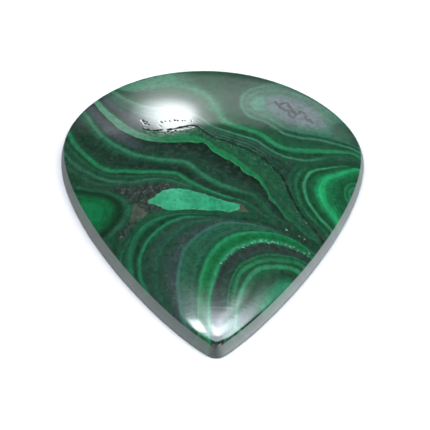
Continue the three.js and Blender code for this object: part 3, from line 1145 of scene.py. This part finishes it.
# %% Bands and threads of each family
SWEEP_BANDS = [
    (0.00, (34, 60, 46)), (0.30, (38, 76, 56)), (0.50, (38, 96, 64)), (0.62, (36, 122, 74)),
    (0.84, (34, 120, 74)), (0.96, (36, 116, 72)), (1.00, (14, 36, 26)), (1.10, (20, 48, 35)),
    (1.35, (33, 58, 47)), (1.65, (36, 68, 53)), (1.85, (32, 76, 54)), (2.10, (32, 84, 58)),
    (2.35, (33, 66, 51)), (2.70, (29, 58, 44)), (2.88, (28, 76, 50)), (3.08, (28, 82, 54)),
    (3.22, (24, 62, 42)), (3.45, (38, 92, 64)), (3.70, (32, 76, 54)), (3.88, (34, 84, 58)),
    (4.15, (32, 74, 52)), (4.60, (38, 84, 60)), (5.00, (34, 74, 52)), (5.50, (32, 72, 50)),
    (6.00, (34, 86, 58))]
SWEEP_THREADS = [
    (0.93, 0.16, 0.6, (64, 152, 100)), (2.0, 0.34, 0.95, (58, 126, 94)),
    (3.0, 0.32, 0.95, (46, 130, 86)), (4.0, 0.28, 0.8, (58, 112, 86)),
    (1.55, 0.25, 0.2, (50, 92, 72)), (2.15, 0.3, 0.35, (38, 104, 70)),
    (4.55, 0.2, 0.35, (50, 98, 76))]
UPPER_BANDS = [
    (0.00, (26, 46, 38)), (0.12, (38, 60, 50)), (0.50, (42, 68, 56)), (0.85, (38, 72, 56)),
    (1.30, (38, 76, 58)), (1.65, (34, 82, 58)), (2.10, (26, 82, 52)), (2.55, (24, 82, 50)),
    (2.78, (28, 96, 60)), (3.20, (28, 92, 58)), (3.55, (36, 86, 60)), (3.90, (34, 82, 58)),
    (4.20, (34, 86, 60)), (4.60, (34, 80, 56)), (5.00, (34, 90, 64)), (5.50, (36, 88, 64)),
    (5.85, (64, 132, 104)), (6.00, (66, 136, 108))]
UPPER_THREADS = [
    (0.45, 0.15, 0.5, (70, 104, 90)), (1.0, 0.2, 0.65, (66, 116, 92)),
    (1.5, 0.18, 0.6, (64, 112, 92)), (2.0, 0.22, 0.85, (74, 136, 106)),
    (3.0, 0.42, 0.95, (52, 142, 96)), (4.0, 0.26, 0.75, (72, 138, 108)),
    (5.0, 0.22, 0.65, (68, 130, 104))]
FAN_BANDS = [
    (-1.0, (34, 78, 56)), (0.00, (34, 84, 60)), (0.50, (26, 78, 50)), (1.00, (30, 88, 58)),
    (1.50, (22, 80, 46)), (2.00, (26, 84, 52)), (2.40, (22, 84, 50)), (2.80, (30, 106, 66)),
    (3.00, (36, 136, 84)), (3.30, (42, 170, 104)), (3.80, (42, 164, 100)),
    (4.00, (34, 136, 82)), (4.30, (28, 106, 66)), (4.80, (26, 96, 58)), (5.00, (22, 84, 50)),
    (5.60, (28, 98, 60)), (6.50, (28, 98, 60)), (7.00, (36, 116, 74))]
FAN_THREADS = [
    (0.0, 0.24, 0.6, (44, 106, 76)), (1.0, 0.26, 0.75, (46, 112, 80)),
    (2.0, 0.24, 0.95, (66, 150, 108)), (2.5, 0.2, 0.2, (40, 110, 72)),
    (6.0, 0.26, 0.85, (46, 142, 94))]
ROSETTE_BANDS = [
    (-1.0, (36, 80, 58)), (0.00, (34, 74, 54)), (0.30, (34, 98, 66)), (0.60, (26, 74, 50)),
    (0.85, (34, 102, 68)), (1.00, (42, 118, 82)), (1.20, (36, 106, 72)), (1.45, (26, 68, 46)),
    (1.75, (26, 74, 50)), (2.20, (34, 82, 58)), (2.60, (46, 80, 66)), (3.00, (40, 86, 66)),
    (3.30, (42, 76, 60)), (3.60, (60, 76, 74)), (3.90, (58, 76, 76)), (4.15, (42, 98, 72)),
    (4.50, (42, 94, 68)), (4.85, (32, 92, 62)), (5.00, (46, 142, 92)), (5.20, (26, 114, 64)),
    (5.60, (24, 110, 62)), (5.80, (38, 128, 80)), (5.93, (50, 144, 98)), (6.10, (40, 74, 58)),
    (6.30, (52, 62, 58)), (6.90, (44, 68, 56)), (7.08, (42, 116, 78)), (7.40, (28, 92, 56)),
    (8.40, (22, 82, 48)), (9.40, (24, 92, 54)), (10.0, (32, 78, 50)), (11.0, (56, 150, 108))]
ROSETTE_THREADS = [
    (2.0, 0.26, 0.9, (42, 132, 90)), (3.0, 0.3, 0.25, (50, 104, 80)),
    (4.0, 0.26, 0.8, (64, 124, 104)), (4.6, 0.3, 0.3, (60, 112, 92)),
    (8.0, 0.3, 0.85, (52, 132, 90)), (9.0, 0.3, 0.95, (60, 146, 102))]
BALL_BANDS = [
    (-1.0, (42, 86, 66)), (0.00, (38, 84, 60)), (0.45, (32, 76, 52)), (0.80, (24, 58, 38)),
    (1.10, (24, 62, 40)), (1.60, (24, 86, 52)), (2.00, (22, 102, 60)), (2.60, (20, 114, 66)),
    (3.00, (18, 120, 70))]
BALL_THREADS = [
    (0.0, 0.3, 0.75, (50, 108, 80)), (0.35, 0.2, 0.5, (46, 98, 72))]

# %% [markdown]
# The material is built up over the next cells. Four noises are shared by all of it: the
# wander of the bands, the patches where fine growth shows, the grain of the polished stone,
# and a ragged one that roughs up the edges of what isn't banded. Their scales are per metre.
# The numbers inside a mask are layer numbers or millimetres, and the number that a mask is
# multiplied by is how strongly its colour covers what lies under it.

# %% Shared places, noises and masks
WANDER_SCALE = 500
WANDER_WIDTH = 0.12
PATCH_SCALE = 260
GRAIN_SCALE = 2400
RAGGED_SCALE = 1500

malachite = bpy.data.materials.new("malachite")
finish = Sheet(malachite)
place = finish.add("TexCoord", {}, {}, "Object")
sideways, forward, upward = finish.axes(place)
wander = (finish.noise(place, WANDER_SCALE, detail=3) - 0.5) * WANDER_WIDTH * 2
patchy = finish.noise(place, PATCH_SCALE, detail=1) * 2
grain = finish.noise(place, GRAIN_SCALE)
ragged = (finish.noise(place, RAGGED_SCALE, detail=3) - 0.5) * 0.5


def rising(value, start, end):
    """0 at the start and 1 at the end, both in millimetres."""
    return finish.step(value, start * MM, end * MM)


def near(value, middle, outer, inner):
    """1 within the inner gap from a middle value, and 0 beyond the outer one."""
    return finish.step(abs(value - middle), outer, inner)


def speckle(scale, low, high, detail=2, roughness=0.5):
    """Spots where a noise rises from low to high."""
    return finish.step(finish.noise(place, scale, detail, roughness), low, high)


def cells(scale):
    """The distance from the middles of round cells."""
    return finish.add(
        "TexVoronoi", {"feature": "F1"}, {"Vector": place, "Scale": scale}, "Distance")


def inside(name, softness):
    """1 inside a patch whose edge wanders as the bands do, and 0 outside it."""
    return finish.step(finish.attribute(name) + wander, -softness, softness)


def edge_of(name, raggedness, low, high):
    """0 at low and 1 at high, in millimetres inside a patch's ragged edge or off a line."""
    return finish.step(finish.attribute(name) + ragged * raggedness, low, high)


# %% [markdown]
# One family of bands is a ramp of colours over its layer number, with its threads drawn on
# top at their real width. Growth is never quite even, so a slow noise along the layers makes
# some of them richer and some duller. Where the layers pinch out, the colours run together,
# and there is no room left for a thread.

# %% Colour of a family
GROWTH_SCALE = 2.3
GROWTH_STRENGTH = 0.45
FINE_SCALE = 7.0
FINE_STRENGTH = 0.3
THREAD_ROOM = (0.25, 0.8)
THREAD_SOFTNESS = 1.3
PINCH = (0.5, 0.15)
PINCH_STRENGTH = 0.75
PINCH_GREEN = shown(32, 66, 50)


def family(name, bands, threads, lobes=0, broad=1):
    """The colour of one family of bands, its layer number and its spacing.

    The lobes push its layers about, and its threads are drawn so many times as broad."""
    spacing = finish.attribute(name + "_spacing")
    layer = finish.attribute(name) + (wander + lobes) / spacing
    low, high = bands[0][0], bands[-1][0]
    stops = [((number - low) / (high - low), shown(*colour)) for number, colour in bands]
    colour = finish.add(
        "ValToRGB", {"stops": stops}, {"Fac": (layer - low) / (high - low)}, "Color")
    slow = finish.noise_line(layer, GROWTH_SCALE, detail=1) - 0.5
    fine = finish.noise_line(layer, FINE_SCALE, detail=2) - 0.5
    colour = finish.scaled(colour, 1 + slow * GROWTH_STRENGTH + fine * patchy * FINE_STRENGTH)
    open_ground = finish.step(spacing, *THREAD_ROOM)
    for number, half_width, strength, thread_colour in threads:
        gap = abs(layer - number) * spacing / broad
        thread = finish.step(gap, half_width * THREAD_SOFTNESS, 0)
        colour = finish.mix(thread * open_ground * strength, colour, shown(*thread_colour))
    pinch = finish.step(spacing, *PINCH)
    return finish.mix(pinch * PINCH_STRENGTH, colour, PINCH_GREEN), layer, spacing


# %% [markdown]
# The sweep starts pale at the left rim, over a mauve foot whose tint is partly a painted
# reflection of the haze. The bright band's foot is scalloped by round cells. Past the lens
# its lines crowd together and fade.

# %% The sweep
BAND_MINT = shown(88, 146, 118)
MAUVE_AND_HAZE = shown(82, 88, 96)
SWEEP_PLAIN = shown(34, 78, 54)
SCALLOP_SCALE = 800
SCALLOP_DEPTH = 0.55

at_foot = near(finish.attribute("sweep"), 1, 0.4, 0.1) * rising(sideways, -6, -1)
scallops = (cells(SCALLOP_SCALE) - 0.4) * at_foot * SCALLOP_DEPTH
sweep, sweep_layer, _ = family("sweep", SWEEP_BANDS, SWEEP_THREADS, scallops)
left = rising(sideways, -5, -9)
band_start = left * near(sweep_layer, 0.74, 0.3, 0.18)
sweep = finish.mix(band_start * 0.85, sweep, BAND_MINT)
band_foot = rising(sideways, -7, -10.5) * near(sweep_layer, 1.4, 0.45, 0.1)
# Painted reflection: the mauve is partly the haze's tint, mixed into the colour.
sweep = finish.mix(band_foot * 0.6, sweep, MAUVE_AND_HAZE)
fading = rising(sideways, 1.5, 5) * finish.step(sweep_layer, 1.5, 1.8)
sweep = finish.mix(fading * 0.75, sweep, SWEEP_PLAIN)
band_end = rising(sideways, 4.5, 9) * near(sweep_layer, 0.85, 0.4, 0.15)
sweep = finish.mix(band_end * 0.55, sweep, SWEEP_PLAIN)

# %% [markdown]
# The upper bands broaden to the left, where the lowest take a mauve tint that is partly a
# painted reflection of the haze. At the right rim the ones next to the seam melt into plain
# green, and the ground round the far eye and above the wave is washed with mint, which is
# partly a painted reflection of the haze on the far half.

# %% The upper bands
UPPER_PLAIN = shown(30, 84, 56)
FAR_MINT_AND_HAZE = shown(84, 138, 114)

upper, upper_layer, upper_spacing = family(
    "upper", UPPER_BANDS, UPPER_THREADS, broad=1 + rising(sideways, -3, -10) * 0.9)
# Painted reflection: the mauve on the left is partly the haze's tint.
upper = finish.mix(left * finish.step(upper_layer, 0.7, 0.3) * 0.55, upper, MAUVE_AND_HAZE)
right_end = rising(sideways, 10, 13.5) * finish.step(upper_layer, 2.7, 2.3)
upper = finish.mix(right_end * 0.8, upper, UPPER_PLAIN)
seam_end = rising(sideways, 4, 8) * finish.step(upper_layer, 1.8, 1.2)
upper = finish.mix(seam_end * 0.8, upper, PINCH_GREEN)
# Painted reflection: the mint on the far half is partly the haze, mixed into the colour.
far = rising(forward, 8.5, 12)
by_wave = finish.step(abs(upper_layer - 3.02) * upper_spacing, 1.2, 0)
upper = finish.mix(by_wave * far * 0.6, upper, FAR_MINT_AND_HAZE)
round_eye = finish.step(upper_layer, 3.7, 4.6) * far
round_eye = round_eye * (1 - rising(sideways, 9.5, 13) * 0.8)
upper = finish.mix(round_eye * 0.45, upper, FAR_MINT_AND_HAZE)

# %% [markdown]
# The fan's eye is a set of pale rings on plain green, at these distances from its middle.

# %% The fan and the ball
FAN_PLAIN = shown(30, 96, 60)
FAN_PALE = shown(46, 136, 90)
FAN_EYE_RINGS = [0.5, 1.15, 1.7]

fan, _, _ = family("fan", FAN_BANDS, FAN_THREADS)
eye = finish.attribute("fan_eye") + wander
fan = finish.mix(finish.step(eye, 1.9, 1.5) * 0.8, fan, FAN_PLAIN)
for eye_ring in FAN_EYE_RINGS:
    fan = finish.mix(near(eye, eye_ring, 0.25, 0) * 0.7, fan, FAN_PALE)
ball, _, _ = family("ball", BALL_BANDS, BALL_THREADS)

# %% [markdown]
# Two of the rosette's rings are greyed by green specks, its crust's inner edge carries pale
# specks that are partly crystals and partly a painted sparkle, and its right end melts into
# the pinched layers of the flank.

# %% The rosette
RING_GREEN = shown(42, 96, 68)
CRUST_FLECK_AND_SPARKLE = shown(112, 190, 150)

rosette, rosette_layer, rosette_spacing = family("rosette", ROSETTE_BANDS, ROSETTE_THREADS)
greyed = near(rosette_layer, 6.5, 0.6, 0.35) + near(rosette_layer, 3.7, 0.6, 0.3)
ring_specks = speckle(1200, 0.48, 0.6, detail=3, roughness=0.7)
rosette = finish.mix(greyed * ring_specks * 0.35, rosette, RING_GREEN)
crust_edge = finish.step(abs(rosette_layer - 5.9) * rosette_spacing, 0.3, 0.1)
crust_edge = crust_edge * rising(forward, -11, -7)
# Painted sparkle: the crust's pale specks are partly crystals and partly painted glints.
crust_specks_and_sparkle = speckle(2600, 0.54, 0.62, detail=1)
rosette = finish.mix(crust_edge * crust_specks_and_sparkle * 0.8, rosette, CRUST_FLECK_AND_SPARKLE)
ring_end = rising(sideways, 9.5, 13)
rosette = finish.mix(ring_end * 0.6, rosette, PINCH_GREEN)

# %% [markdown]
# Each family fills its own side of a line. The later ones cut the earlier ones off, as the
# younger growth does in the stone.

# %% Put the families together
SEAM_SOFTNESS = 0.04
SIDE_SOFTNESS = 0.25

in_ball = inside("ball_side", SIDE_SOFTNESS)
colour = finish.mix(inside("upper_side", SEAM_SOFTNESS), sweep, upper)
colour = finish.mix(inside("fan_side", SIDE_SOFTNESS), colour, fan)
colour = finish.mix(in_ball, colour, ball)
colour = finish.mix(inside("rosette_side", SIDE_SOFTNESS), colour, rosette)

# %% [markdown]
# Along the seam lies a crust of dark and bright grains, and a fine crack that opens and
# closes. The bright grains are partly pale grains and partly painted glints. The crack stays
# on the dome and doesn't run down the wall.

# %% Crust and crack
CRUST_GREEN = shown(40, 106, 70)
CRUST_DARK = shown(30, 76, 52)
CRUST_PALE_AND_GLINT = shown(104, 150, 124)
CRACK_DARK_AND_PIT_SHADE = shown(22, 34, 30)

crusty = edge_of("crust", 0.5, -0.15, 0.1)
colour = finish.mix(crusty * 0.55, colour, CRUST_GREEN)
grains = speckle(1700, 0.54, 0.4, detail=3)
colour = finish.mix(crusty * grains * 0.55, colour, CRUST_DARK)
# Painted glint: the bright grains are partly pale grains and partly glints put into the colour.
pale_grains_and_glints = speckle(3200, 0.62, 0.72, detail=1)
pale_grains_and_glints = pale_grains_and_glints * finish.step(finish.attribute("upper_side"), -1.1, -0.5)
colour = finish.mix(crusty * pale_grains_and_glints * 0.5, colour, CRUST_PALE_AND_GLINT)
crack = finish.step(abs(finish.attribute("upper_side")) + ragged * 0.9, 0.2, 0.02)
crack = crack * finish.step(finish.attribute("crack"), -0.3, 0.3)
crack = crack * speckle(500, 0.32, 0.44)
crack = crack * finish.step(finish.attribute("over_edge"), 0, 0.12)
colour = finish.mix(crack * 0.85, colour, CRACK_DARK_AND_PIT_SHADE)

# %% [markdown]
# The matrix is the dark host rock, grey and flecked, with a brown stain in it. A chip of the
# same brown sits at the lens's point.

# %% Matrix and chip
MATRIX_GREY = shown(56, 70, 62)
MATRIX_DARK = shown(42, 54, 50)
MATRIX_FLECK = shown(94, 108, 92)
MATRIX_BROWN = shown(88, 98, 78)
CHIP_BROWN = shown(80, 92, 72)

matrix = finish.mix(finish.step(grain, 0.4, 0.6), MATRIX_DARK, MATRIX_GREY)
matrix = finish.mix(speckle(2500, 0.56, 0.68) * 0.6, matrix, MATRIX_FLECK)
brown = edge_of("brown_spot", 2, -0.5, 0.3)
matrix = finish.mix(brown * 0.7, matrix, MATRIX_BROWN)
stony = edge_of("matrix", 2, -0.2, 0.12)
colour = finish.mix(stony, colour, matrix)
colour = finish.mix(edge_of("brown_chip", 0.2, -0.04, 0.04), colour, CHIP_BROWN)

# %% [markdown]
# The lens is a mint-green mineral with a paler, grainy rim and dark flecks. Its edge is
# cleaner than the matrix's, but frays at the blunt left end.

# %% Lens
LENS_MINT = shown(70, 180, 132)
LENS_DEEP = shown(48, 156, 108)
LENS_PALE = shown(112, 176, 146)
LENS_FLECK = shown(36, 124, 80)
LENS_FLECK_SCALE = 1500

mint = finish.mix(speckle(420, 0.35, 0.65, detail=3), LENS_DEEP, LENS_MINT)
lens_end = rising(sideways, -4.5, -6.5)
lens = finish.attribute("lens") + ragged * (0.4 + lens_end * 1.4)
rim = finish.step(lens, 0.35, 0.05) * finish.step(grain, 0.45, 0.65)
mint = finish.mix(rim * 0.6, mint, LENS_PALE)
flecks = finish.step(cells(LENS_FLECK_SCALE), 0.28, 0.1)
mint = finish.mix(flecks * 0.6, mint, LENS_FLECK)
colour = finish.mix(finish.step(lens, -0.05, 0.05), colour, mint)

# %% [markdown]
# The nodule is a soft grey-violet cloud with dark veins in it. Its grey is partly its own
# and partly a painted reflection of the haze.

# %% Nodule and veins
NODULE_GREY_AND_HAZE = shown(96, 110, 114)
NODULE_MINT_AND_HAZE = shown(104, 132, 124)
NODULE_DARK = shown(44, 38, 52)

# Painted reflection: the nodule's grey cloud is partly a haze reflection put into its colour.
cloud = finish.mix(speckle(900, 0.4, 0.65, detail=3), NODULE_GREY_AND_HAZE, NODULE_MINT_AND_HAZE)
colour = finish.mix(edge_of("nodule", 0.3, -0.1, 0.9) * 0.9, colour, cloud)
colour = finish.mix(edge_of("veins", 0.7, 0.3, 0.03) * 0.9, colour, NODULE_DARK)

# %% [markdown]
# Pits are painted dark, as shade in their hollows. The dark bands are mottled far more than
# the bright ones, the left ball hardly at all, and a fine grain of tone lies over everything
# but the crystals.

# %% Pits, mottling, grain and crystals
MOTTLE_GREY = shown(66, 78, 70)
MOTTLE_DARK = shown(20, 34, 28)
CRYSTAL_PALE = shown(94, 154, 122)
MOTTLE_SCALE = 1500
TONE_SCALE = 1100
TONE_RANGE = 0.9

pit = finish.attribute("pit")
# Painted shade: the pits are darkened as if shade lay in them.
colour = finish.mix(finish.step(pit, 0.1, 0.6) * 0.55, colour, CRACK_DARK_AND_PIT_SHADE)
darkness = finish.step(finish.dot(colour, (0, 1, 0)), 0.09, 0.03)
mottle = finish.noise(place, MOTTLE_SCALE, detail=3, roughness=0.65)
stained = (0.08 + darkness * 0.45) * (1 - in_ball * 0.9)
colour = finish.mix(finish.step(mottle, 0.5, 0.68) * stained, colour, MOTTLE_GREY)
colour = finish.mix(finish.step(mottle, 0.46, 0.3) * stained, colour, MOTTLE_DARK)
cloudy = finish.noise(place, TONE_SCALE, detail=3)
tone = 1 + (grain - 0.5) * TONE_RANGE + (cloudy - 0.5) * TONE_RANGE
colour = finish.scaled(colour, tone)
crystal = finish.attribute("crystal")
colour = finish.mix(crystal * 0.9, colour, CRYSTAL_PALE)

# %% [markdown]
# The wall is less polished than the dome and looks greyer: partly its paler ground finish and
# partly a painted reflection of the bright table, mixed into its colour. The back is only
# ground. The crust, the matrix and the crack never took the polish well.

# %% Wall, back and polish
WALL_GREY_AND_TABLE_SHEEN = shown(92, 110, 106)
DOME_ROUGHNESS = 0.09
WALL_ROUGHNESS = 0.3
BACK_ROUGHNESS = 0.45
CRUST_ROUGHENING = 0.04
MATRIX_ROUGHENING = 0.12
CRACK_ROUGHENING = 0.25

side = finish.step(finish.attribute("over_edge"), 0.02, -0.2)
back = rising(upward, 0.25, 0.05)
# Painted reflection: the wall's grey is partly the bright table's sheen put into its colour.
colour = finish.mix(side * (1 - back) * 0.62, colour, WALL_GREY_AND_TABLE_SHEEN)
roughness = (
    DOME_ROUGHNESS + side * (WALL_ROUGHNESS - DOME_ROUGHNESS)
    + back * (BACK_ROUGHNESS - WALL_ROUGHNESS)
    + crusty * CRUST_ROUGHENING + stony * MATRIX_ROUGHENING + crack * CRACK_ROUGHENING)

# %% [markdown]
# What is left is shallower than the mesh can show: the faint waves that polishing leaves,
# streaks by the tip, and the grain of the crust, the matrix and the ground back. Each term
# is a noise and its height, as a share of the relief's whole depth.

# %% Fine relief
RELIEF_DEPTH = 0.05 * MM
STREAK_STRETCH = (0.3, 3, 1)

tip = rising(forward, -11, -15)
streaks = finish.add(
    "VectorMath", {"operation": "MULTIPLY"}, {0: place, 1: STREAK_STRETCH}, 0)
relief = (
    finish.noise(place, 700) * 0.04
    + tip * finish.noise(streaks, 1100) * 0.04
    + crusty * finish.noise(place, 5000, detail=1) * 0.15
    + stony * finish.noise(place, 3000) * 0.25
    - crack * 0.3 + back * finish.noise(place, 6000) * 0.3)
bump = finish.add(
    "Bump", {}, {"Strength": 1, "Distance": RELIEF_DEPTH, "Height": relief}, "Normal")

# %% [markdown]
# Pits, crystals and the crack are where the polish never reached, so they get a dull, silky
# shader that mirrors no lamp.

# %% Shader
REFRACTION = 1.78
CRYSTAL_ROUGHNESS = 0.7
CRYSTAL_REFRACTION = 1.2
SILKY_SHARE = 0.93

polished = finish.add(
    "BsdfPrincipled", {},
    {"Base Color": colour, "Roughness": roughness, "IOR": REFRACTION, "Normal": bump}, "BSDF")
silky = finish.add(
    "BsdfPrincipled", {},
    {"Base Color": colour, "Roughness": CRYSTAL_ROUGHNESS, "IOR": CRYSTAL_REFRACTION}, "BSDF")
unpolished = finish.step(crystal + pit + crack + crusty * 0.3, 0.05, 0.5)
skin = finish.add("MixShader", {}, {"Fac": unpolished * SILKY_SHARE, 1: polished, 2: silky})
finish.add("OutputMaterial", {}, {"Surface": skin})
stone_mesh.materials.append(malachite)
print("malachite", len(malachite.node_tree.nodes), "nodes")

# %% Put the stone in the frame
stone = bpy.data.objects.new("polished_stone", stone_mesh)
bpy.context.scene.collection.objects.link(stone)
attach(stone, "root")
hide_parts("cabochon")
